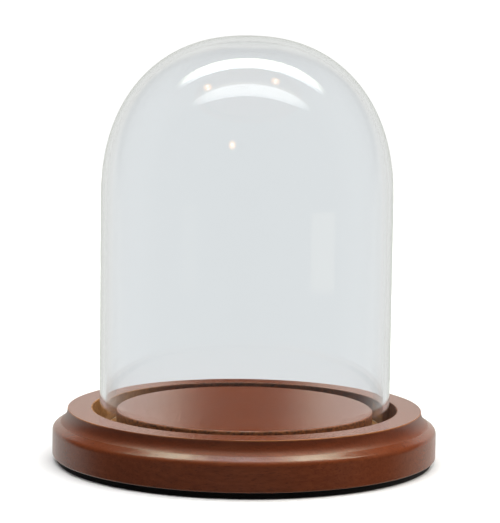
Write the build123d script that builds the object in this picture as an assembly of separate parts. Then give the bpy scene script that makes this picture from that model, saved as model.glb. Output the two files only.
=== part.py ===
"""Bell jar: a clear glass dome standing loose in the groove of a turned wooden base.

Frame: millimetres, +Z up, origin on the base's axis at the table surface.
"""

from build123d import *
import os
from math import cos, pi, radians, sin

# ---------------------------------------------------------------- driving dimensions
# Glass dome
dome_radius = 75.6          # outside, a 6 inch dome
dome_height = 203.2         # rim to crown, 8 inches
glass_wall = 3.0
crown_rise = 84.7           # height of the rounded crown above the straight side
crown_power = 2.24          # 2 would be an ellipse, more is squarer
rim_bevel = 0.5             # ground edges of the rim

# Heights of the base, from the table up
felt_thickness = 3.2
board_thickness = 14.0
ring_top = 27.3
platform_top = 27.1

# Radii of the base
base_radius = 100.0
felt_radius = 97.8
board_radius = 88.0
ring_top_radius = 92.2
groove_outer_radius = 79.3
platform_radius = 66.9

# Moulding turned on the outside of the ring: a cove, a short slope and a shoulder
lip_height = 0.5
cove_radius = 8.0
slope_angle = 33.0          # degrees below the horizontal
shoulder_radius = 2.8

# Small rounds that break the turned edges
lip_round = 0.4
groove_round = 0.5
band_round = 0.8
platform_round = 1.0
felt_round = 0.5

# Countersunk wood screws, driven up through the board: four into each turned piece
screw_length = 20.0
screw_count = 4
ring_screw_circle = 84.0
ring_screw_radius = 1.5     # outside of the thread
platform_screw_circle = 42.0
platform_screw_radius = 2.0
head_ratio = 2.0            # head radius over thread radius
head_edge = 0.3             # straight edge of the head under its cone
root_ratio = 0.68           # thread root radius over thread radius
pitch_ratio = 0.9           # thread pitch over thread radius
shank_share = 0.35          # part of the length that carries no thread
clearance = 0.25            # between the shank and its hole in the board
pilot_gap = 0.02            # between the thread crests and the pilot hole
recess_ratio = 0.35         # width of one slot of the cross recess over thread radius

# ---------------------------------------------------------------- heights worked out
groove_floor = felt_thickness + board_thickness
dome_crown = groove_floor + dome_height
crown_start = dome_crown - crown_rise

os.makedirs("parts", exist_ok=True)


def turned(*edges):
    """Spin a closed half outline about Z. In the outline x is the radius and y the height."""
    return revolve(Plane.XZ * make_face(edges), Axis.Z)


def circle_edges(solid, radius, height):
    """The solid's circular edges of this radius at this height, centred on Z."""
    return [
        edge
        for edge in solid.edges().filter_by(GeomType.CIRCLE)
        if abs(edge.radius - radius) < 0.01 and abs(edge.arc_center.Z - height) < 0.01
    ]


def crown_curve(radius, rise):
    """Half of a dome's crown as a smooth curve, from its straight side to the axis."""
    points = []
    for step in range(11):
        angle = step / 10 * pi / 2
        across = radius * max(cos(angle), 0) ** (2 / crown_power)
        up = crown_start + rise * sin(angle) ** (2 / crown_power)
        points.append((across, up))
    points[-1] = (0, crown_start + rise)
    return Spline(points, tangents=[(0, 1), (-1, 0)])


def glass_dome():
    """One blown piece of glass with a rim that is ground flat."""
    inner_radius = dome_radius - glass_wall
    inner_rise = crown_rise - glass_wall
    inner_crown = crown_start + inner_rise
    bevel_top = groove_floor + rim_bevel
    return turned(
        Line((dome_radius, bevel_top), (dome_radius, crown_start)),
        crown_curve(dome_radius, crown_rise),
        Line((0, dome_crown), (0, inner_crown)),
        crown_curve(inner_radius, inner_rise),
        Line((inner_radius, crown_start), (inner_radius, bevel_top)),
        Line((inner_radius, bevel_top), (inner_radius + rim_bevel, groove_floor)),
        Line((inner_radius + rim_bevel, groove_floor), (dome_radius - rim_bevel, groove_floor)),
        Line((dome_radius - rim_bevel, groove_floor), (dome_radius, bevel_top)),
    )


def moulding_slope_length():
    """Length of the straight slope that brings the moulding out to the base's radius."""
    slope = radians(slope_angle)
    curved_part = (cove_radius + shoulder_radius) * (1 - sin(slope))
    return (base_radius - ring_top_radius - curved_part) / cos(slope)


def base_ring():
    """The moulded ring that shows round the glass, rebated below to take the board."""
    slope = radians(slope_angle)
    cove_start = ring_top - lip_height
    cove = CenterArc((ring_top_radius + cove_radius, cove_start), cove_radius, 180, 90 - slope_angle)
    slope_top = cove @ 1
    slope_run = Vector(cos(slope), -sin(slope)) * moulding_slope_length()
    slope_line = Line(slope_top, slope_top + slope_run)
    shoulder_centre = slope_line @ 1 - Vector(sin(slope), cos(slope)) * shoulder_radius
    shoulder = CenterArc(shoulder_centre, shoulder_radius, 90 - slope_angle, slope_angle - 90)
    ring = turned(
        Line((groove_outer_radius, ring_top), (ring_top_radius, ring_top)),
        Line((ring_top_radius, ring_top), (ring_top_radius, cove_start)),
        cove,
        slope_line,
        shoulder,
        Line(shoulder @ 1, (base_radius, felt_thickness)),
        Line((base_radius, felt_thickness), (board_radius, felt_thickness)),
        Line((board_radius, felt_thickness), (board_radius, groove_floor)),
        Line((board_radius, groove_floor), (groove_outer_radius, groove_floor)),
        Line((groove_outer_radius, groove_floor), (groove_outer_radius, ring_top)),
    )
    ring = fillet(circle_edges(ring, ring_top_radius, ring_top), lip_round)
    ring = fillet(circle_edges(ring, groove_outer_radius, ring_top), groove_round)
    ring = fillet(circle_edges(ring, base_radius, felt_thickness), band_round)
    return ring - pilot_holes(ring_screw_circle, ring_screw_radius)


def display_platform():
    """The round platform that the exhibit stands on, and the inner wall of the groove."""
    height = platform_top - groove_floor
    disc = Pos(0, 0, groove_floor) * extrude(Circle(platform_radius), height)
    disc = fillet(circle_edges(disc, platform_radius, platform_top), platform_round)
    return disc - pilot_holes(platform_screw_circle, platform_screw_radius)


def base_board():
    """The plain board that carries the ring and the platform and is the groove's floor."""
    disc = Pos(0, 0, felt_thickness) * extrude(Circle(board_radius), board_thickness)
    disc -= countersunk_holes(ring_screw_circle, ring_screw_radius)
    return disc - countersunk_holes(platform_screw_circle, platform_screw_radius)


def felt_pad():
    """The black felt disc under the base, which hides the screws and meets the table."""
    disc = extrude(Circle(felt_radius), felt_thickness)
    return fillet(circle_edges(disc, felt_radius, 0), felt_round)


def head_height(thread_radius):
    """Height of a countersunk head: its edge and its 90 degree cone down to the thread."""
    return head_edge + thread_radius * (head_ratio - 1)


def screw_outline(thread_radius):
    """Half outline of a wood screw with its head down, from the head's rim to the tip."""
    head_radius = head_ratio * thread_radius
    root_radius = root_ratio * thread_radius
    pitch = pitch_ratio * thread_radius
    thread_start = screw_length * shank_share
    tip_start = screw_length - 2 * thread_radius
    points = [
        (0, 0),
        (head_radius, 0),
        (head_radius, head_edge),
        (thread_radius, head_height(thread_radius)),
        (thread_radius, thread_start),
    ]
    turns = int((tip_start - thread_start) / pitch)
    for turn in range(turns):
        root = thread_start + (turn + 0.5) * pitch
        crest = thread_start + (turn + 1) * pitch
        points.append((root_radius, root))
        points.append((thread_radius, crest))
    points.append((root_radius, tip_start + pitch / 2))
    points.append((0, screw_length))
    return points


def wood_screw(thread_radius):
    """A countersunk screw with a cross recess, its head at z = 0 and its tip up."""
    screw = turned(Polyline(*screw_outline(thread_radius), close=True))
    slot_width = recess_ratio * thread_radius
    slot_length = 1.3 * head_ratio * thread_radius
    slot_depth = 0.8 * head_height(thread_radius)
    lengthwise = Pos(0, 0, slot_depth / 2) * Box(slot_length, slot_width, slot_depth)
    crosswise = Pos(0, 0, slot_depth / 2) * Box(slot_width, slot_length, slot_depth)
    return screw - lengthwise - crosswise


def screw_places(circle):
    """Even places round a circle on the underside of the board, off the X and Y axes."""
    return Pos(0, 0, felt_thickness) * PolarLocations(circle, screw_count, 180 / screw_count)


def screws(circle, thread_radius):
    """The screws of one circle, as separate solids."""
    return [place * wood_screw(thread_radius) for place in screw_places(circle)]


def countersunk_holes(circle, thread_radius):
    """Clearance holes through the board with seats that fit the screw heads."""
    head_radius = head_ratio * thread_radius
    hole_radius = thread_radius + clearance
    cone_top = head_height(thread_radius) - clearance
    hole = turned(
        Polyline(
            (0, 0),
            (head_radius, 0),
            (head_radius, head_edge),
            (hole_radius, cone_top),
            (hole_radius, board_thickness),
            (0, board_thickness),
            close=True,
        )
    )
    return [place * hole for place in screw_places(circle)]


def pilot_holes(circle, thread_radius):
    """Blind holes, from the board's top face up, that the threads stand in."""
    depth = screw_length - board_thickness + clearance
    radius = thread_radius + pilot_gap
    hole = Pos(0, 0, board_thickness) * extrude(Circle(radius), depth)
    return [place * hole for place in screw_places(circle)]


nodes = {
    "glass_dome": glass_dome(),
    "base_ring": base_ring(),
    "display_platform": display_platform(),
    "base_board": base_board(),
    "felt_pad": felt_pad(),
    "ring_screws": Compound(children=screws(ring_screw_circle, ring_screw_radius)),
    "platform_screws": Compound(children=screws(platform_screw_circle, platform_screw_radius)),
}

for name, shape in nodes.items():
    export_step(shape, f"parts/{name}.step")
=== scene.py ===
"""Looks of a bell jar: a clear glass dome standing in the groove of a turned wooden base.

All lengths are in metres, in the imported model's own frame: +Z up, origin on the base's axis at the
table surface, -Y towards the viewer. All colours are linear.
"""

import math

import bpy
from mathutils import Matrix, Vector, noise


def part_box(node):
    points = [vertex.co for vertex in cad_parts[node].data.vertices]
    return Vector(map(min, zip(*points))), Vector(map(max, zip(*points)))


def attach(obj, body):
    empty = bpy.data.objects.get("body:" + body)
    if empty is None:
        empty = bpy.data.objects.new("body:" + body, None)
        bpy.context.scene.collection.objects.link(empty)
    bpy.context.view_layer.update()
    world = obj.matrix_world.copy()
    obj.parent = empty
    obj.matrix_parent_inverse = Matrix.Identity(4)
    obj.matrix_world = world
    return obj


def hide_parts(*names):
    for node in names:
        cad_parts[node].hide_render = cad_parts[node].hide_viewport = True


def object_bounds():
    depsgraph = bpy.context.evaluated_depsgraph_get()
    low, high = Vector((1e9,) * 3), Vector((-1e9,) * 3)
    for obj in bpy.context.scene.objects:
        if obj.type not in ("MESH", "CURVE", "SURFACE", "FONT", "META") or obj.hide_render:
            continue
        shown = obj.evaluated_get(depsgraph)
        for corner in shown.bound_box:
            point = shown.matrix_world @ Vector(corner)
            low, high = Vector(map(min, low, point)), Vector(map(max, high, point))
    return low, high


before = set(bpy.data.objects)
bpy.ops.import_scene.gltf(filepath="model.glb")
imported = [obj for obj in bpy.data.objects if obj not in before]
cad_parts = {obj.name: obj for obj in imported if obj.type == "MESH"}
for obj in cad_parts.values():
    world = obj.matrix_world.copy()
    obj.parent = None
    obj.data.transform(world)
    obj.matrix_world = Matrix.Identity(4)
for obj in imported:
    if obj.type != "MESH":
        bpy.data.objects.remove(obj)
cad_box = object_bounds()

# ---------------------------------------------------------------- sizes that the frame doesn't hold
GLASS_WALL = 0.003
CROWN_RISE = 0.0847         # height of the rounded crown above the straight side
CROWN_POWER = 2.24          # 2 would be an ellipse, more is squarer
RIM_BEVEL = 0.0005          # ground edges of the rim
FELT_ROUND = 0.0006         # round of the felt's lower edge
FELT_FUZZ = 0.00012         # depth of the dents in the felt's edge
FELT_DENTS = 900.0          # of the noise that makes them, cells per metre
RING_TOP_RADIUS = 0.0922    # outer edge of the ring's flat top
GROOVE_RADIUS = 0.0793      # outer wall of the groove
COVE_EDGE = 0.0957          # where the cove turns into the slope

# ---------------------------------------------------------------- fineness of the meshes
DOME_SEGMENTS = 288
DOME_SIDE_ROWS = 40
CROWN_ROWS = 56
FELT_SEGMENTS = 720
FELT_ROUND_ROWS = 6
FELT_SIDE_ROWS = 8
FELT_FACE_RINGS = 24
FLOOR_SEGMENTS = 96

# ---------------------------------------------------------------- the photograph's viewing angle
CAMERA_PLACE = (0.0019, -1.0519, 0.2141)
CAMERA_PITCH = -5.99        # degrees, down
CAMERA_ROLL = 0.75          # degrees
LENS = 140.2
SENSOR = 36.0

# ---------------------------------------------------------------- lights
# Two strip lights overhead, lengthwise along X. Each is three lights, one just above the other: the
# key lights the object, the shine is mirrored by its outer surfaces and the glint inside the glass.
LIGHT_HEIGHT = 6.0
STRIP_LENGTH = 11.0
STRIP_WIDTH = 1.5
STRIP_SHIFT = 0.35          # both strips are a little to the right
LAYER_GAP = 0.05            # height between the three lights of a strip, so that none hides another
KEY_RADIANCE = 7.1
GLINT_COLOUR = (0.94, 1.0, 1.03)
# offset is from the axis to the back. width, shine, glint and fade are of the mirrored lights: their
# width and radiance, and their soft edge's share of half the width.
FRONT_STRIP = {
    "offset": -1.52,
    "width": STRIP_WIDTH,
    "shine": 0.9,
    "shine_colour": (1.0, 0.94, 0.72),
    "glint": 4.8,
    "fade": 0.35,
}
BACK_STRIP = {
    "offset": 1.78,
    "width": 1.32,
    "shine": 6.6,
    "shine_colour": (1.02, 1.08, 0.85),
    "glint": 6.6,
    "fade": 0.15,
}
END_POWER = 2.6             # how late along its length a strip narrows and dims
AIM = (0.0, 0.0, 0.15)      # the point that the lights below are aimed at
SIDE_PLACE = (3.6, 0.3, 1.5)        # a low soft light on the right
SIDE_SIZE = (2.0, 2.0)
SIDE_RADIANCE = 5.6
SIDE_COLOUR = (1.0, 0.92, 0.80)
LAMP_DISTANCE = 4.0         # three small warm lamps, each in its direction from the aim
LAMP_SIZE = (0.5, 0.5)
LAMP_RADIANCE = 12.0
LAMP_DIRECTIONS = {"left": (-0.42, -0.09, 0.90), "right": (0.27, -0.05, 0.96), "front": (-0.20, -0.85, 0.48)}
LAMP_TONES = [(0.05, (1.0, 0.92, 0.80)), (0.16, (0.42, 0.22, 0.08)), (0.5, (0.0, 0.0, 0.0))]

# ---------------------------------------------------------------- the room
# Directions are points on the unit sphere: X to the right, Y to the back and Z up.
BACKDROP = (0.85, 0.875, 0.885)     # the cool grey panel behind the object, seen through the glass
PANEL_EDGE = tuple(0.955 * value for value in BACKDROP)     # its edge is a little darker
ROOM = (0.92, 0.925, 0.915)         # the pale room round the panel
ROOM_SIDES = (0.80, 0.808, 0.805)   # and further out beside it
PANEL_SIDE = 0.196          # half the panel's width over its distance
PANEL_TOP = 0.13            # height of the panel's upper edge over its distance
CAMERA_WHITE = 1.05         # strength of the plain white that the camera sees round the object

# Tones of the surroundings as stops from the front, 0, to the back, 1
WALL_TONES = [
    (0.0, (0.05, 0.045, 0.04)),
    (0.50, (0.13, 0.12, 0.11)),
    (0.66, (0.26, 0.25, 0.23)),
    (0.88, (0.66, 0.66, 0.62)),
    (0.95, (0.735, 0.75, 0.70)),
    (1.0, (0.735, 0.75, 0.70)),
]
TABLE_LEFT_TONES = [
    (0.0, (0.09, 0.08, 0.07)),
    (0.10, (0.17, 0.16, 0.14)),
    (0.46, (0.30, 0.28, 0.26)),
    (0.70, (0.53, 0.50, 0.47)),
    (1.0, (0.72, 0.69, 0.66)),
]
TABLE_RIGHT_TONES = [
    (0.0, (0.10, 0.085, 0.065)),
    (0.22, (0.46, 0.38, 0.26)),
    (0.40, (0.28, 0.23, 0.17)),
    (0.70, (0.46, 0.40, 0.32)),
    (0.92, (0.66, 0.62, 0.56)),
    (1.0, (0.74, 0.71, 0.68)),
]
INNER_TONES = [
    (0.0, (0.13, 0.13, 0.13)),
    (0.4, (0.30, 0.30, 0.30)),
    (0.6, (0.60, 0.60, 0.60)),
    (0.8, (0.80, 0.80, 0.80)),
    (1.0, (0.82, 0.83, 0.825)),
]
TABLE_EDGE = -0.178         # Z of the direction in which the table top ends
DARK_CEILING = (0.04, 0.04, 0.04)
STRIP_CEILING = (0.17, 0.15, 0.11)  # the ceiling between the strips takes some light from them
INNER_CEILING = (0.30, 0.30, 0.30)
OPENINGS = (                # warm openings in the room: direction of the middle, half size, tone
    ((0.87, -0.49, -0.097), (0.10, 0.18, 0.022), (0.85, 0.76, 0.58)),
    ((-0.70, -0.71, -0.086), (0.08, 0.08, 0.034), (0.30, 0.28, 0.24)),
)
UPRIGHT_MIDDLE = -0.003     # a dark upright behind the object: X of its middle
UPRIGHT_REACH = 0.068       # and how far from there it has faded out
UPRIGHT_SHADES = [
    (0.48, (0.0, 0.0, 0.0)),
    (0.60, (0.42, 0.35, 0.28)),
    (0.78, (0.72, 0.65, 0.56)),
    (1.0, (0.97, 0.91, 0.83)),
]

# ---------------------------------------------------------------- the floor
FLOOR_CORE = 1.6            # radius of the floor that is fully there
FLOOR_EDGE = 3.2            # radius where it has faded into the backdrop
FLOOR_DROP = 0.00005        # gap under the object, so that the two faces don't fight
FLOOR_SEEN = (0.95, 0.95, 0.95)
FLOOR_BOUNCE = (0.41, 0.41, 0.41)   # what it sends back to the object, less than the white that is seen

# ---------------------------------------------------------------- tones of the materials
STAIN_DARK = (0.142, 0.031, 0.0088)
STAIN_LIGHT = (0.204, 0.047, 0.0145)
GROWTH_RING_TONE = (0.115, 0.024, 0.0065)
PORE_TONE = (0.03, 0.008, 0.004)
WORN_TONE = (0.36, 0.125, 0.032)
LIP_PAINTED_SHADE = (0.76, 0.70, 0.66)   # painted shade: multiplies the colour in the hollow under the ring's lip
# golden, lighter tones for the left of the groove wall: painted light where it faces the light from the
# right
PAINTED_LIT_WALL_TONES = ((0.17, 0.064, 0.018), (0.46, 0.215, 0.070))
RING_WALL_TONES = ((0.020, 0.005, 0.002), (0.15, 0.040, 0.011))
PLATFORM_WALL_TONES = ((0.04, 0.010, 0.003), (0.34, 0.110, 0.032))
BARE_WOOD_TONES = ((0.26, 0.105, 0.026), (0.46, 0.215, 0.060))
FELT_TONES = ((0.0035, 0.0035, 0.0038), (0.016, 0.015, 0.015))
ZINC_TONES = ((0.42, 0.41, 0.38), (0.68, 0.67, 0.64))
RING_PAINTED_LIGHT_LEFT_OF = -0.035  # X left of which the ring's groove wall is painted golden and lighter: painted light where it faces the light from the right
NOWHERE = -1.0              # an X that is left of everything
EVERYWHERE = 1.0            # a radius that is outside of everything
RING_BARE_REACH = 0.0006    # the bare wall of the groove ends this far outside the groove's radius
PLATFORM_BARE_REACH = 0.0004        # and on the platform starts this far inside the platform's


# ================================================================ helpers
def add(tree, kind, inputs=None, **settings):
    """A new shader node. inputs sets its sockets by name: a socket is linked and a value is set."""
    new = tree.nodes.new(kind)
    for key, value in settings.items():
        setattr(new, key, value)
    for key, value in (inputs or {}).items():
        if isinstance(value, bpy.types.NodeSocket):
            tree.links.new(value, new.inputs[key])
        else:
            new.inputs[key].default_value = value
    return new


def new_material(name):
    """A material with an empty node tree, and that tree."""
    material = bpy.data.materials.new(name)
    material.use_nodes = True
    material.node_tree.nodes.clear()
    return material, material.node_tree


def math_node(tree, operation, first, second=0.0, third=0.0):
    """The output of one math operation."""
    new = tree.nodes.new("ShaderNodeMath")
    new.operation = operation
    for socket, value in zip(new.inputs, (first, second, third)):
        if isinstance(value, bpy.types.NodeSocket):
            tree.links.new(value, socket)
        else:
            socket.default_value = value
    return new.outputs[0]


def ramp(tree, factor, stops, smooth=False):
    """A colour ramp. stops is a list of (position, colour), with the colour as three numbers."""
    new = add(tree, "ShaderNodeValToRGB", {"Fac": factor})
    new.color_ramp.interpolation = "EASE" if smooth else "LINEAR"
    elements = new.color_ramp.elements
    while len(elements) < len(stops):
        elements.new(1.0)
    for element, (position, colour) in zip(elements, stops):
        element.position = position
        element.color = (*colour, 1.0)
    return new.outputs["Color"]


def grey(value):
    """A grey as three equal numbers."""
    return (value, value, value)


def mix_colour(tree, factor, first, second, blend="MIX"):
    """The mix of two colours, each a socket or three numbers."""
    new = tree.nodes.new("ShaderNodeMix")
    new.data_type = "RGBA"
    new.blend_type = blend
    for socket, value in zip((new.inputs[0], new.inputs[6], new.inputs[7]), (factor, first, second)):
        if isinstance(value, bpy.types.NodeSocket):
            tree.links.new(value, socket)
        elif isinstance(value, tuple):
            socket.default_value = (*value, 1.0)
        else:
            socket.default_value = value
    return new.outputs[2]


def scaled_place(tree, scale, offset=(0.0, 0.0, 0.0)):
    """The point on the object, moved by offset and then stretched by scale."""
    place = add(tree, "ShaderNodeTexCoord").outputs["Object"]
    moved = add(tree, "ShaderNodeVectorMath", {0: place, 1: offset}, operation="ADD")
    stretched = add(tree, "ShaderNodeVectorMath", {0: moved.outputs[0], 1: scale}, operation="MULTIPLY")
    return stretched.outputs[0]


def radius_and_height(tree):
    """Distance from the Z axis and height of the point on the object."""
    place = add(tree, "ShaderNodeTexCoord").outputs["Object"]
    flat = add(tree, "ShaderNodeVectorMath", {0: place, 1: (1.0, 1.0, 0.0)}, operation="MULTIPLY")
    radius = add(tree, "ShaderNodeVectorMath", {0: flat.outputs[0]}, operation="LENGTH")
    height = add(tree, "ShaderNodeSeparateXYZ", {0: place})
    return radius.outputs["Value"], height.outputs["Z"]


def noise_node(tree, scale, detail, roughness=0.5):
    """Noise over the object, stretched by three scales: features per metre along X, Y and Z."""
    return add(
        tree,
        "ShaderNodeTexNoise",
        {"Vector": scaled_place(tree, scale), "Scale": 1.0, "Detail": detail, "Roughness": roughness},
    ).outputs["Fac"]


def step_up(tree, value, edge, width):
    """0 below edge and 1 above it, with a ramp of this width between. edge is a socket or a number."""
    above = math_node(tree, "SUBTRACT", value, edge)
    return add(
        tree,
        "ShaderNodeMapRange",
        {"Value": above, "From Min": -width / 2, "From Max": width / 2},
        interpolation_type="SMOOTHSTEP",
    ).outputs[0]


def all_but(tree, share):
    """1 minus a share."""
    return math_node(tree, "SUBTRACT", 1.0, share)


def between(tree, value, low, low_fade, high, high_fade):
    """1 between low and high and 0 outside them, with a ramp at each."""
    above = step_up(tree, value, low, low_fade)
    below = all_but(tree, step_up(tree, value, high, high_fade))
    return math_node(tree, "MULTIPLY", above, below)


def bumped(tree, height, strength, distance):
    """The surface's direction with this relief."""
    bump = add(tree, "ShaderNodeBump", {"Height": height, "Strength": strength, "Distance": distance})
    return bump.outputs[0]


def principled(tree, inputs):
    """The material's shader, linked to its output. inputs sets its sockets by name."""
    shader = add(tree, "ShaderNodeBsdfPrincipled", inputs)
    add(tree, "ShaderNodeOutputMaterial", {"Surface": shader.outputs[0]})


def lathe(name, outline, segments, wobble=None):
    """A mesh object turned about Z from a closed half outline of (radius, height) points.

    Points with no radius become one shared vertex. wobble moves each point: it is given the angle,
    the outline point's number, the radius and the height, and returns the new radius and height.
    """
    verts = []
    rows = []
    for number, (radius, height) in enumerate(outline):
        if radius == 0:
            rows.append([len(verts)] * segments)
            verts.append((0.0, 0.0, height))
            continue
        rows.append(list(range(len(verts), len(verts) + segments)))
        for index in range(segments):
            angle = 2 * math.pi * index / segments
            r, z = wobble(angle, number, radius, height) if wobble else (radius, height)
            verts.append((r * math.cos(angle), r * math.sin(angle), z))
    faces = []
    for low, high in zip(rows, rows[1:] + rows[:1]):
        for index in range(segments):
            after = (index + 1) % segments
            corners = [low[index], low[after], high[after], high[index]]
            face = list(dict.fromkeys(corners))
            if len(face) > 2:
                faces.append(face)
    mesh = bpy.data.meshes.new(name)
    mesh.from_pydata(verts, [], faces)
    mesh.validate()
    mesh.shade_smooth()
    piece = bpy.data.objects.new(name, mesh)
    bpy.context.scene.collection.objects.link(piece)
    return piece


# ================================================================ camera
def make_camera():
    """The camera where the photographer's stood."""
    data = bpy.data.cameras.new("camera")
    data.lens = LENS
    data.sensor_width = SENSOR
    camera = bpy.data.objects.new("camera", data)
    tilt = Matrix.Rotation(math.radians(90 + CAMERA_PITCH), 4, "X")
    roll = Matrix.Rotation(math.radians(CAMERA_ROLL), 4, "Z")
    camera.matrix_world = Matrix.Translation(CAMERA_PLACE) @ tilt @ roll
    bpy.context.scene.collection.objects.link(camera)
    bpy.context.scene.camera = camera


# ================================================================ stage
def panel_tone(tree, split):
    """What is seen through the glass: the panel behind the object, its edge, and the pale room round it."""
    ahead = math_node(tree, "MAXIMUM", split.outputs["Y"], 0.001)
    side = math_node(tree, "ABSOLUTE", math_node(tree, "DIVIDE", split.outputs["X"], ahead))
    height = math_node(tree, "DIVIDE", split.outputs["Z"], ahead)
    past_side = math_node(tree, "DIVIDE", side, PANEL_SIDE)
    past_top = math_node(tree, "DIVIDE", height, PANEL_TOP)
    past = math_node(tree, "MAXIMUM", past_side, past_top)
    # a ramp ends at 1, so it is given half the distance: the panel's edge is at 0.5
    scaled = math_node(tree, "MULTIPLY", past, 0.5)
    stops = [(0.40, BACKDROP), (0.48, PANEL_EDGE), (0.56, PANEL_EDGE), (0.66, ROOM)]
    tone = ramp(tree, scaled, stops, smooth=True)
    return mix_colour(tree, step_up(tree, past_side, 1.2, 0.3), tone, ROOM_SIDES)


def from_front_to_back(tree, split, stops):
    """A tone that changes with how far a direction points to the back. stops run from 0 to 1."""
    depth = add(tree, "ShaderNodeMapRange", {"Value": split.outputs["Y"], "From Min": -1.0})
    return ramp(tree, depth.outputs[0], stops)


def warm_opening(tree, direction, size):
    """How much of a soft-edged opening is seen. direction is its middle and size its half size."""
    seen = add(tree, "ShaderNodeTexCoord").outputs["Generated"]
    apart = add(tree, "ShaderNodeVectorMath", {0: seen, 1: direction}, operation="SUBTRACT").outputs[0]
    off = add(tree, "ShaderNodeSeparateXYZ", {0: apart})
    shares = []
    for axis, half in zip("XYZ", size):
        reach = math_node(tree, "ABSOLUTE", off.outputs[axis])
        shares.append(all_but(tree, step_up(tree, reach, half, 0.3 * half)))
    return math_node(tree, "MULTIPLY", math_node(tree, "MULTIPLY", shares[0], shares[1]), shares[2])


def table_tone(tree, split):
    """The table top, which is warmer on the right."""
    left = from_front_to_back(tree, split, TABLE_LEFT_TONES)
    right = from_front_to_back(tree, split, TABLE_RIGHT_TONES)
    rightward = step_up(tree, split.outputs["X"], 0.25, 0.30)
    return mix_colour(tree, rightward, left, right)


def ceiling_share(tree, split):
    """How much of the dark ceiling is seen. It starts lower at the sides and in front than at the back."""
    aside = math_node(tree, "MULTIPLY", math_node(tree, "ABSOLUTE", split.outputs["X"]), 0.8)
    steepness = math_node(tree, "ADD", split.outputs["Z"], aside)
    steepness = math_node(tree, "MULTIPLY_ADD", split.outputs["Y"], -0.5, steepness)
    return step_up(tree, steepness, 0.45, 0.2)


def between_strips(tree, split):
    """How much of the ceiling between the two strips is seen."""
    off_axis = math_node(tree, "ABSOLUTE", split.outputs["Y"])
    across = all_but(tree, step_up(tree, off_axis, 0.25, 0.12))
    return math_node(tree, "MULTIPLY", across, step_up(tree, split.outputs["Z"], 0.75, 0.3))


def room_tone(tree, split):
    """What the outer surfaces mirror: a dark room behind the camera with two warm openings, walls that
    are paler towards the back, a table top and a dark ceiling."""
    walls = from_front_to_back(tree, split, WALL_TONES)
    above_table = step_up(tree, split.outputs["Z"], TABLE_EDGE, 0.014)
    room = mix_colour(tree, above_table, table_tone(tree, split), walls)
    room = mix_colour(tree, ceiling_share(tree, split), room, DARK_CEILING)
    room = mix_colour(tree, between_strips(tree, split), room, STRIP_CEILING)
    for direction, size, tone in OPENINGS:
        room = mix_colour(tree, warm_opening(tree, direction, size), room, tone)
    return room


def upright_share(tree, split, depth):
    """Where the dark upright is mirrored: behind the object, above the horizon, and by the wood through
    the dome. depth counts the surfaces of glass that a ray has passed, four or more for such a ray."""
    behind = step_up(tree, split.outputs["Y"], 0.90, 0.04)
    above = step_up(tree, split.outputs["Z"], 0.05, 0.04)
    share = math_node(tree, "MULTIPLY", behind, above)
    return math_node(tree, "MULTIPLY", share, step_up(tree, depth, 3.0, 0.1))


def inner_tone(tree, split, depth):
    """What is mirrored inside the glass, or by the wood through it: walls that are paler towards the
    back, and a dark upright that the wood mirrors in the middle of its front."""
    walls = from_front_to_back(tree, split, INNER_TONES)
    off_middle = math_node(tree, "ADD", split.outputs["X"], -UPRIGHT_MIDDLE)
    off_middle = math_node(tree, "ABSOLUTE", off_middle)
    shade = ramp(tree, math_node(tree, "DIVIDE", off_middle, UPRIGHT_REACH), UPRIGHT_SHADES)
    shaded = mix_colour(tree, 1.0, walls, shade, "MULTIPLY")
    walls = mix_colour(tree, upright_share(tree, split, depth), walls, shaded)
    return mix_colour(tree, step_up(tree, split.outputs["Z"], 0.75, 0.3), walls, INNER_CEILING)


def make_world():
    """The studio: plain white for the camera, and softer tones in what glass and lacquer show of it."""
    world = bpy.data.worlds.new("studio")
    bpy.context.scene.world = world
    world.use_nodes = True
    tree = world.node_tree
    tree.nodes.clear()
    place = add(tree, "ShaderNodeTexCoord").outputs["Generated"]
    split = add(tree, "ShaderNodeSeparateXYZ", {0: place})
    ray = add(tree, "ShaderNodeLightPath").outputs
    glass_passed = ray["Transmission Depth"]
    through_glass = step_up(tree, glass_passed, 0.5, 0.1)
    inside = inner_tone(tree, split, glass_passed)
    mirrored = mix_colour(tree, through_glass, room_tone(tree, split), inside)
    bounces = math_node(tree, "ADD", ray["Glossy Depth"], ray["Diffuse Depth"])
    tone = mix_colour(tree, step_up(tree, bounces, 0.5, 0.1), panel_tone(tree, split), mirrored)
    seen_by_object = add(tree, "ShaderNodeBackground", {"Color": tone})
    white = {"Color": (1.0, 1.0, 1.0, 1.0), "Strength": CAMERA_WHITE}
    seen_by_camera = add(tree, "ShaderNodeBackground", white)
    both = add(
        tree,
        "ShaderNodeMixShader",
        {0: ray["Is Camera Ray"], 1: seen_by_object.outputs[0], 2: seen_by_camera.outputs[0]},
    )
    add(tree, "ShaderNodeOutputWorld", {"Surface": both.outputs[0]})


def floor_material():
    """Matt white floor that fades into the backdrop far from the object."""
    material, tree = new_material("floor")
    radius, _ = radius_and_height(tree)
    direct = add(tree, "ShaderNodeLightPath").outputs["Is Camera Ray"]
    tone = mix_colour(tree, direct, FLOOR_BOUNCE, FLOOR_SEEN)
    matt = add(tree, "ShaderNodeBsdfDiffuse", {"Color": tone})
    clear = add(tree, "ShaderNodeBsdfTransparent")
    fade = step_up(tree, radius, (FLOOR_CORE + FLOOR_EDGE) / 2, FLOOR_EDGE - FLOOR_CORE)
    both = add(tree, "ShaderNodeMixShader", {0: fade, 1: matt.outputs[0], 2: clear.outputs[0]})
    add(tree, "ShaderNodeOutputMaterial", {"Surface": both.outputs[0]})
    return material


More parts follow.
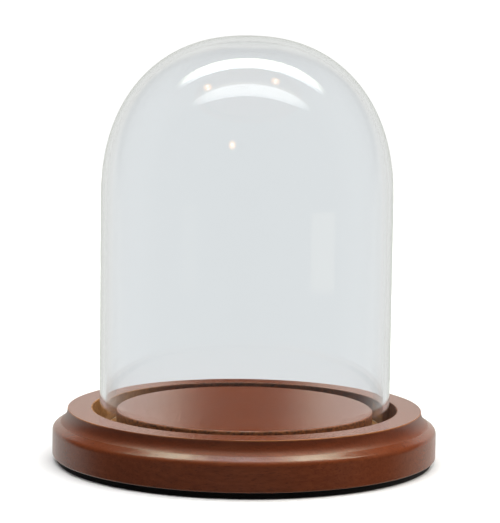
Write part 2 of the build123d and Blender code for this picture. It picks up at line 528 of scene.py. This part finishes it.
def make_floor():
    """A round plain floor under the object."""
    mesh = bpy.data.meshes.new("floor")
    turn = [2 * math.pi * index / FLOOR_SEGMENTS for index in range(FLOOR_SEGMENTS)]
    verts = [(FLOOR_EDGE * math.cos(angle), FLOOR_EDGE * math.sin(angle), 0.0) for angle in turn]
    mesh.from_pydata(verts, [], [list(range(FLOOR_SEGMENTS))])
    floor = bpy.data.objects.new("floor", mesh)
    bpy.context.scene.collection.objects.link(floor)
    floor.location.z = cad_box[0].z - FLOOR_DROP
    floor.visible_glossy = False
    floor.visible_transmission = False
    mesh.materials.append(floor_material())


def make_area_light(name, place, size, radiance, aim, colour=(1.0, 1.0, 1.0)):
    """A rectangular light aimed at a point, of this radiance, that the camera doesn't see."""
    data = bpy.data.lights.new(name, "AREA")
    data.shape = "RECTANGLE"
    data.size, data.size_y = size
    data.energy = radiance * math.pi * size[0] * size[1]
    data.color = colour
    light = bpy.data.objects.new(name, data)
    light.location = place
    light.rotation_euler = (Vector(aim) - Vector(place)).to_track_quat("-Z", "Y").to_euler()
    light.visible_camera = False
    bpy.context.scene.collection.objects.link(light)
    return light


def own_nodes(light):
    """The light's empty node tree."""
    light.data.use_nodes = True
    tree = light.data.node_tree
    tree.nodes.clear()
    return tree


def soften(light, fade):
    """Gives a strip light tapered ends and a soft edge. fade is the edge's share of its half width."""
    tree = own_nodes(light)
    spot = add(tree, "ShaderNodeSeparateXYZ", {0: add(tree, "ShaderNodeNewGeometry").outputs["Parametric"]})
    along = math_node(tree, "MULTIPLY_ADD", spot.outputs["X"], 2.0, -1.0)
    across = math_node(tree, "MULTIPLY_ADD", spot.outputs["Y"], 2.0, -1.0)
    ends = math_node(tree, "POWER", math_node(tree, "ABSOLUTE", along), END_POWER)
    sides = math_node(tree, "POWER", math_node(tree, "ABSOLUTE", across), 2.0)
    reach = math_node(tree, "ADD", ends, sides)
    narrowed = all_but(tree, step_up(tree, reach, 1.0 - fade / 2, fade))
    dimmed = all_but(tree, step_up(tree, ends, 0.5, 1.0))
    strength = math_node(tree, "MULTIPLY", narrowed, dimmed)
    glow = add(tree, "ShaderNodeEmission", {"Strength": strength})
    add(tree, "ShaderNodeOutputLight", {"Surface": glow.outputs[0]})


def glow_spot(light):
    """Turns a square light into a lamp with a white core in a warm halo."""
    tree = own_nodes(light)
    spot = add(tree, "ShaderNodeNewGeometry").outputs["Parametric"]
    from_middle = add(tree, "ShaderNodeVectorMath", {0: spot, 1: (0.5, 0.5, 0.0)}, operation="DISTANCE")
    warmth = ramp(tree, from_middle.outputs["Value"], LAMP_TONES, smooth=True)
    glow = add(tree, "ShaderNodeEmission", {"Color": warmth})
    add(tree, "ShaderNodeOutputLight", {"Surface": glow.outputs[0]})


def make_strip(name, offset, width, shine, shine_colour, glint, fade):
    """One strip overhead, as its key, shine and glint lights."""
    place = Vector((STRIP_SHIFT, offset, LIGHT_HEIGHT))
    below = place - Vector((0.0, 0.0, 1.0))
    gap = Vector((0.0, 0.0, LAYER_GAP))
    key = make_area_light("key_" + name, place + gap, (STRIP_LENGTH, STRIP_WIDTH), KEY_RADIANCE, below)
    key.visible_glossy = False
    key.visible_transmission = False
    size = (STRIP_LENGTH, width)
    outside = make_area_light("shine_" + name, place, size, shine, below, shine_colour)
    outside.visible_diffuse = False
    outside.visible_transmission = False
    soften(outside, fade)
    inside = make_area_light("glint_" + name, place - gap, size, glint, below, GLINT_COLOUR)
    inside.visible_diffuse = False
    inside.visible_glossy = False
    soften(inside, fade)


def make_lights():
    """Two long strips overhead, a low light on the right, and three small warm lamps in the room."""
    make_strip("front", **FRONT_STRIP)
    make_strip("back", **BACK_STRIP)
    aim = Vector(AIM)
    side = make_area_light("key_side", SIDE_PLACE, SIDE_SIZE, SIDE_RADIANCE, aim, SIDE_COLOUR)
    side.visible_glossy = False
    side.visible_transmission = False
    for name, direction in LAMP_DIRECTIONS.items():
        place = aim + Vector(direction) * LAMP_DISTANCE
        lamp = make_area_light("lamp_" + name, place, LAMP_SIZE, LAMP_RADIANCE, aim)
        lamp.visible_diffuse = False
        glow_spot(lamp)


# ================================================================ materials
def wood_figure(tree):
    """Stained wood with its grain along X: its colour, and the noises of its fibres and blotches."""
    # growth rings about a pith line far below the board
    rings = add(
        tree,
        "ShaderNodeTexWave",
        {
            "Vector": scaled_place(tree, (0.12, 1.0, 1.0), (0.0, 0.035, 0.11)),
            "Scale": 75.0,
            "Distortion": 3.2,
            "Detail": 2.0,
            "Detail Scale": 0.8,
            "Detail Roughness": 0.6,
        },
        wave_type="RINGS",
        rings_direction="X",
    ).outputs["Fac"]
    fibres = noise_node(tree, (80.0, 650.0, 650.0), 4.0, 0.7)
    blotches = noise_node(tree, (14.0, 30.0, 30.0), 3.0)
    pores = noise_node(tree, (300.0, 1700.0, 1700.0), 1.0)
    ground = ramp(tree, fibres, [(0.3, STAIN_DARK), (0.7, STAIN_LIGHT)])
    ringed = mix_colour(tree, math_node(tree, "MULTIPLY", rings, 0.16), ground, GROWTH_RING_TONE)
    cloud = ramp(tree, blotches, [(0.3, grey(0.90)), (0.7, grey(1.08))])
    clouded = mix_colour(tree, 1.0, ringed, cloud, "MULTIPLY")
    pore_share = math_node(tree, "MULTIPLY", step_up(tree, pores, 0.64, 0.08), 0.35)
    colour = mix_colour(tree, pore_share, clouded, PORE_TONE)
    return colour, fibres, blotches


def worn_share(tree, radius, height, edge, fibres, blotches):
    """How far the stain is worn off a sharp edge, given by its radius and height. It is uneven."""
    edge_radius, edge_height = edge
    off_radius = math_node(tree, "ABSOLUTE", math_node(tree, "SUBTRACT", radius, edge_radius))
    off_height = math_node(tree, "ABSOLUTE", math_node(tree, "SUBTRACT", height, edge_height))
    off_edge = math_node(tree, "MAXIMUM", off_radius, off_height)
    reach = math_node(tree, "MULTIPLY", fibres, 0.0012)
    worn = all_but(tree, step_up(tree, off_edge, reach, 0.0004))
    worn = math_node(tree, "MULTIPLY", worn, step_up(tree, blotches, 0.5, 0.4))
    return math_node(tree, "MULTIPLY", worn, 0.85)


def painted_lip_shade_share(tree, radius, height, top):
    """How far a point is in the hollow under the ring's lip, where the colour is darkened as painted shade.
    """
    outward = step_up(tree, radius, RING_TOP_RADIUS + 0.0017, 0.0026)
    above = step_up(tree, height, top - 0.0006, 0.0004)
    beyond_lip = step_up(tree, radius, RING_TOP_RADIUS - 0.0004, 0.0004)
    hollow = all_but(tree, math_node(tree, "MAXIMUM", outward, above))
    return math_node(tree, "MULTIPLY", hollow, beyond_lip)


def groove_wall_colour(tree, tones, painted_light_left_of):
    """Stain of two tones, painted golden and lighter left of one X: painted light where the wall faces the
    light from the right.
    """
    stain = noise_node(tree, (600.0, 600.0, 800.0), 4.0, 0.7)
    full = ramp(tree, stain, [(0.38, tones[0]), (0.62, tones[1])])
    # the golden tones left of the given X are painted light, where the wall faces the light from the right
    thin = ramp(tree, stain, [(0.38, PAINTED_LIT_WALL_TONES[0]), (0.62, PAINTED_LIT_WALL_TONES[1])])
    place = add(tree, "ShaderNodeSeparateXYZ", {0: add(tree, "ShaderNodeTexCoord").outputs["Object"]})
    wandering = math_node(tree, "MULTIPLY_ADD", stain, 0.04, place.outputs["X"])
    return mix_colour(tree, step_up(tree, wandering, painted_light_left_of, 0.03), thin, full)


def lacquer_roughness(tree, radius, peel, bare):
    """Polished lacquer, duller in the hollow of the cove, which is harder to rub down, and none on
    the bare wall of the groove."""
    polished = add(tree, "ShaderNodeMapRange", {"Value": peel, "To Min": 0.14, "To Max": 0.24}).outputs[0]
    dull = between(tree, radius, RING_TOP_RADIUS - 0.0004, 0.0004, COVE_EDGE, 0.0008)
    lacquered = add(tree, "ShaderNodeMix", {0: dull, 2: polished, 3: 0.34}).outputs[0]
    return add(tree, "ShaderNodeMix", {0: bare, 2: lacquered, 3: 0.65}).outputs[0]


def stained_wood(name, groove_wall, wall_tones, painted_light_left_of, worn_edge):
    """Red-brown stained wood under satin lacquer.

    groove_wall is the pair of radii between which the wall of the groove lies. It has stain of two
    tones but no lacquer, and left of one X it is painted golden and lighter, as painted light where
    it faces the light from the right. worn_edge is the radius and height of the sharp edge where the
    stain is worn off.
    """
    material, tree = new_material(name)
    radius, height = radius_and_height(tree)
    colour, fibres, blotches = wood_figure(tree)
    worn = worn_share(tree, radius, height, worn_edge, fibres, blotches)
    colour = mix_colour(tree, worn, colour, WORN_TONE)
    # painted shade in the hollow under the ring's lip
    painted_shade_colour = mix_colour(tree, 1.0, colour, LIP_PAINTED_SHADE, "MULTIPLY")
    colour = mix_colour(tree, painted_lip_shade_share(tree, radius, height, worn_edge[1]), colour, painted_shade_colour)
    bare_from, bare_to = groove_wall
    bare = between(tree, radius, bare_from, 0.0003, bare_to, 0.0003)
    colour = mix_colour(tree, bare, colour, groove_wall_colour(tree, wall_tones, painted_light_left_of))
    # short fibres and the lacquer's orange peel, and the turning tool's marks where there is none
    peel = noise_node(tree, (800.0, 1000.0, 1000.0), 2.0)
    tooling = noise_node(tree, (30.0, 30.0, 2600.0), 3.0)
    relief = math_node(tree, "MULTIPLY_ADD", fibres, 0.3, math_node(tree, "MULTIPLY", peel, 1.5))
    relief = math_node(tree, "MULTIPLY_ADD", tooling, bare, relief)
    principled(
        tree,
        {
            "Base Color": colour,
            "Roughness": lacquer_roughness(tree, radius, peel, bare),
            "Normal": bumped(tree, relief, 0.6, 0.00009),
            "IOR": 1.5,
            "Specular IOR Level": 0.8,
        },
    )
    return material


def bare_wood():
    """The board under the ring and the platform: lighter wood with a thin, uneven wash of stain."""
    material, tree = new_material("bare_board_wood")
    fibres = noise_node(tree, (18.0, 520.0, 520.0), 4.0, 0.7)
    wash = noise_node(tree, (60.0, 60.0, 60.0), 4.0)
    ground = ramp(tree, fibres, [(0.3, BARE_WOOD_TONES[0]), (0.7, BARE_WOOD_TONES[1])])
    stain = ramp(tree, wash, [(0.35, grey(0.62)), (0.65, grey(1.0))])
    colour = mix_colour(tree, 1.0, ground, stain, "MULTIPLY")
    normal = bumped(tree, fibres, 0.6, 0.0001)
    principled(tree, {"Base Color": colour, "Roughness": 0.6, "Normal": normal})
    return material


def clear_glass():
    """Polished clear glass, very slightly blue in its thickness."""
    material, tree = new_material("clear_glass_look")
    principled(
        tree,
        {"Base Color": (0.975, 0.985, 0.99, 1.0), "Roughness": 0.0, "IOR": 1.5, "Transmission Weight": 1.0},
    )
    return material


def ground_glass():
    """The rim's ground surface: frosted, with a fine grit."""
    material, tree = new_material("ground_glass_look")
    grit = noise_node(tree, (6000.0, 6000.0, 6000.0), 2.0)
    principled(
        tree,
        {
            "Base Color": (1.0, 0.94, 0.84, 1.0),
            "Roughness": 0.5,
            "IOR": 1.5,
            "Transmission Weight": 0.5,
            "Normal": bumped(tree, grit, 0.4, 0.00005),
        },
    )
    return material


def black_felt():
    """Pressed black wool felt: matt, with tangled fibres and a faint pale bloom at grazing angles."""
    material, tree = new_material("black_felt_look")
    tangle = noise_node(tree, (1500.0, 1500.0, 1500.0), 6.0, 0.7)
    strands = add(
        tree,
        "ShaderNodeTexVoronoi",
        {"Vector": scaled_place(tree, (900.0, 900.0, 900.0)), "Scale": 1.0},
        feature="DISTANCE_TO_EDGE",
    ).outputs["Distance"]
    relief = math_node(tree, "ADD", tangle, math_node(tree, "MULTIPLY", strands, 0.6))
    principled(
        tree,
        {
            "Base Color": ramp(tree, tangle, [(0.35, FELT_TONES[0]), (0.7, FELT_TONES[1])]),
            "Roughness": 0.95,
            "Specular IOR Level": 0.15,
            "Sheen Weight": 0.25,
            "Sheen Roughness": 0.4,
            "Normal": bumped(tree, relief, 0.8, 0.0002),
        },
    )
    return material


def zinc_steel():
    """Zinc plated screws with faint turning marks."""
    material, tree = new_material("zinc_steel_look")
    marks = noise_node(tree, (900.0, 900.0, 4000.0), 3.0)
    tone = ramp(tree, marks, [(0.3, ZINC_TONES[0]), (0.7, ZINC_TONES[1])])
    rough = add(tree, "ShaderNodeMapRange", {"Value": marks, "To Min": 0.22, "To Max": 0.42}).outputs[0]
    principled(tree, {"Base Color": tone, "Roughness": rough, "Metallic": 1.0})
    return material


# ================================================================ pieces
def crown_points(radius, rise, start, count):
    """Points up a crown from its straight side to the axis, by the dome's own formula."""
    points = []
    for step in range(1, count):
        angle = step / count * math.pi / 2
        across = radius * math.cos(angle) ** (2 / CROWN_POWER)
        up = start + rise * math.sin(angle) ** (2 / CROWN_POWER)
        points.append((across, up))
    return points + [(0, start + rise)]


def make_dome():
    """The glass shell, inside and out, as one closed surface with a ground rim."""
    low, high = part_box("glass_dome")
    outer = high.x
    inner = outer - GLASS_WALL
    crown_start = high.z - CROWN_RISE
    bevel_top = low.z + RIM_BEVEL
    rise = crown_start - bevel_top
    side = [bevel_top + rise * step / DOME_SIDE_ROWS for step in range(DOME_SIDE_ROWS + 1)]
    outline = [(outer, height) for height in side]
    outline += crown_points(outer, CROWN_RISE, crown_start, CROWN_ROWS)
    inner_crown = crown_points(inner, CROWN_RISE - GLASS_WALL, crown_start, CROWN_ROWS)
    outline += reversed(inner_crown)
    outline += [(inner, height) for height in reversed(side)]
    outline += [(inner + RIM_BEVEL, low.z), (outer - RIM_BEVEL, low.z)]
    dome = lathe("blown_glass_dome", outline, DOME_SEGMENTS)
    dome.data.materials.append(clear_glass())
    dome.data.materials.append(ground_glass())
    for face in dome.data.polygons:
        if face.center.z < bevel_top:
            face.material_index = 1
            face.use_smooth = False
    dome.visible_shadow = False     # the lamps' light passes through it
    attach(dome, "dome")
    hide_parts("glass_dome")


def make_felt():
    """The felt disc, with a soft uneven edge."""
    low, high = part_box("felt_pad")
    radius = high.x
    thickness = high.z - low.z
    turn = [step / FELT_ROUND_ROWS * math.pi / 2 for step in range(FELT_ROUND_ROWS + 1)]
    edge = [
        (
            radius - FELT_ROUND + FELT_ROUND * math.sin(angle),
            low.z + FELT_ROUND - FELT_ROUND * math.cos(angle),
        )
        for angle in turn
    ]
    upright = thickness - FELT_ROUND
    steps = range(1, FELT_SIDE_ROWS + 1)
    wall = [(radius, low.z + FELT_ROUND + upright * step / FELT_SIDE_ROWS) for step in steps]
    rings = [radius * step / FELT_FACE_RINGS for step in range(1, FELT_FACE_RINGS)]
    bottom = [(0, low.z)] + [(ring, low.z) for ring in rings]
    top = [(ring, high.z) for ring in reversed(rings)] + [(0, high.z)]

    def fuzz(angle, number, r, z):
        """Small dents in the felt's edge, none on its flat faces."""
        if r < radius - FELT_ROUND or z > high.z - 0.0001:
            return r, z
        place = Vector((r * math.cos(angle), r * math.sin(angle), z)) * FELT_DENTS
        return r - abs(noise.noise(place)) * FELT_FUZZ, z

    felt = lathe("felt_disc", bottom + edge + wall + top, FELT_SEGMENTS, fuzz)
    felt.data.materials.append(black_felt())
    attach(felt, "base")
    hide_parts("felt_pad")


def dress(node, material):
    """Gives a CAD node its material."""
    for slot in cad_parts[node].material_slots:
        slot.material = material


def dress_wood():
    """Gives the ring and the platform their stained wood, and the board its bare wood."""
    ring_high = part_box("base_ring")[1]
    platform_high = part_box("display_platform")[1]
    ring_wood = stained_wood(
        "stained_ring_wood",
        groove_wall=(0.0, GROOVE_RADIUS + RING_BARE_REACH),
        wall_tones=RING_WALL_TONES,
        painted_light_left_of=RING_PAINTED_LIGHT_LEFT_OF,
        worn_edge=(RING_TOP_RADIUS, ring_high.z),
    )
    platform_wood = stained_wood(
        "stained_platform_wood",
        groove_wall=(platform_high.x - PLATFORM_BARE_REACH, EVERYWHERE),
        wall_tones=PLATFORM_WALL_TONES,
        painted_light_left_of=NOWHERE,
        worn_edge=(platform_high.x, platform_high.z),
    )
    dress("base_ring", ring_wood)
    dress("display_platform", platform_wood)
    dress("base_board", bare_wood())


make_camera()
make_world()
make_floor()
make_lights()
make_dome()
make_felt()
dress_wood()
dress("ring_screws", zinc_steel())
dress("platform_screws", zinc_steel())

bpy.context.scene.view_settings.view_transform = "Standard"
bpy.context.scene.cycles.caustics_refractive = False    # light through the glass comes straight
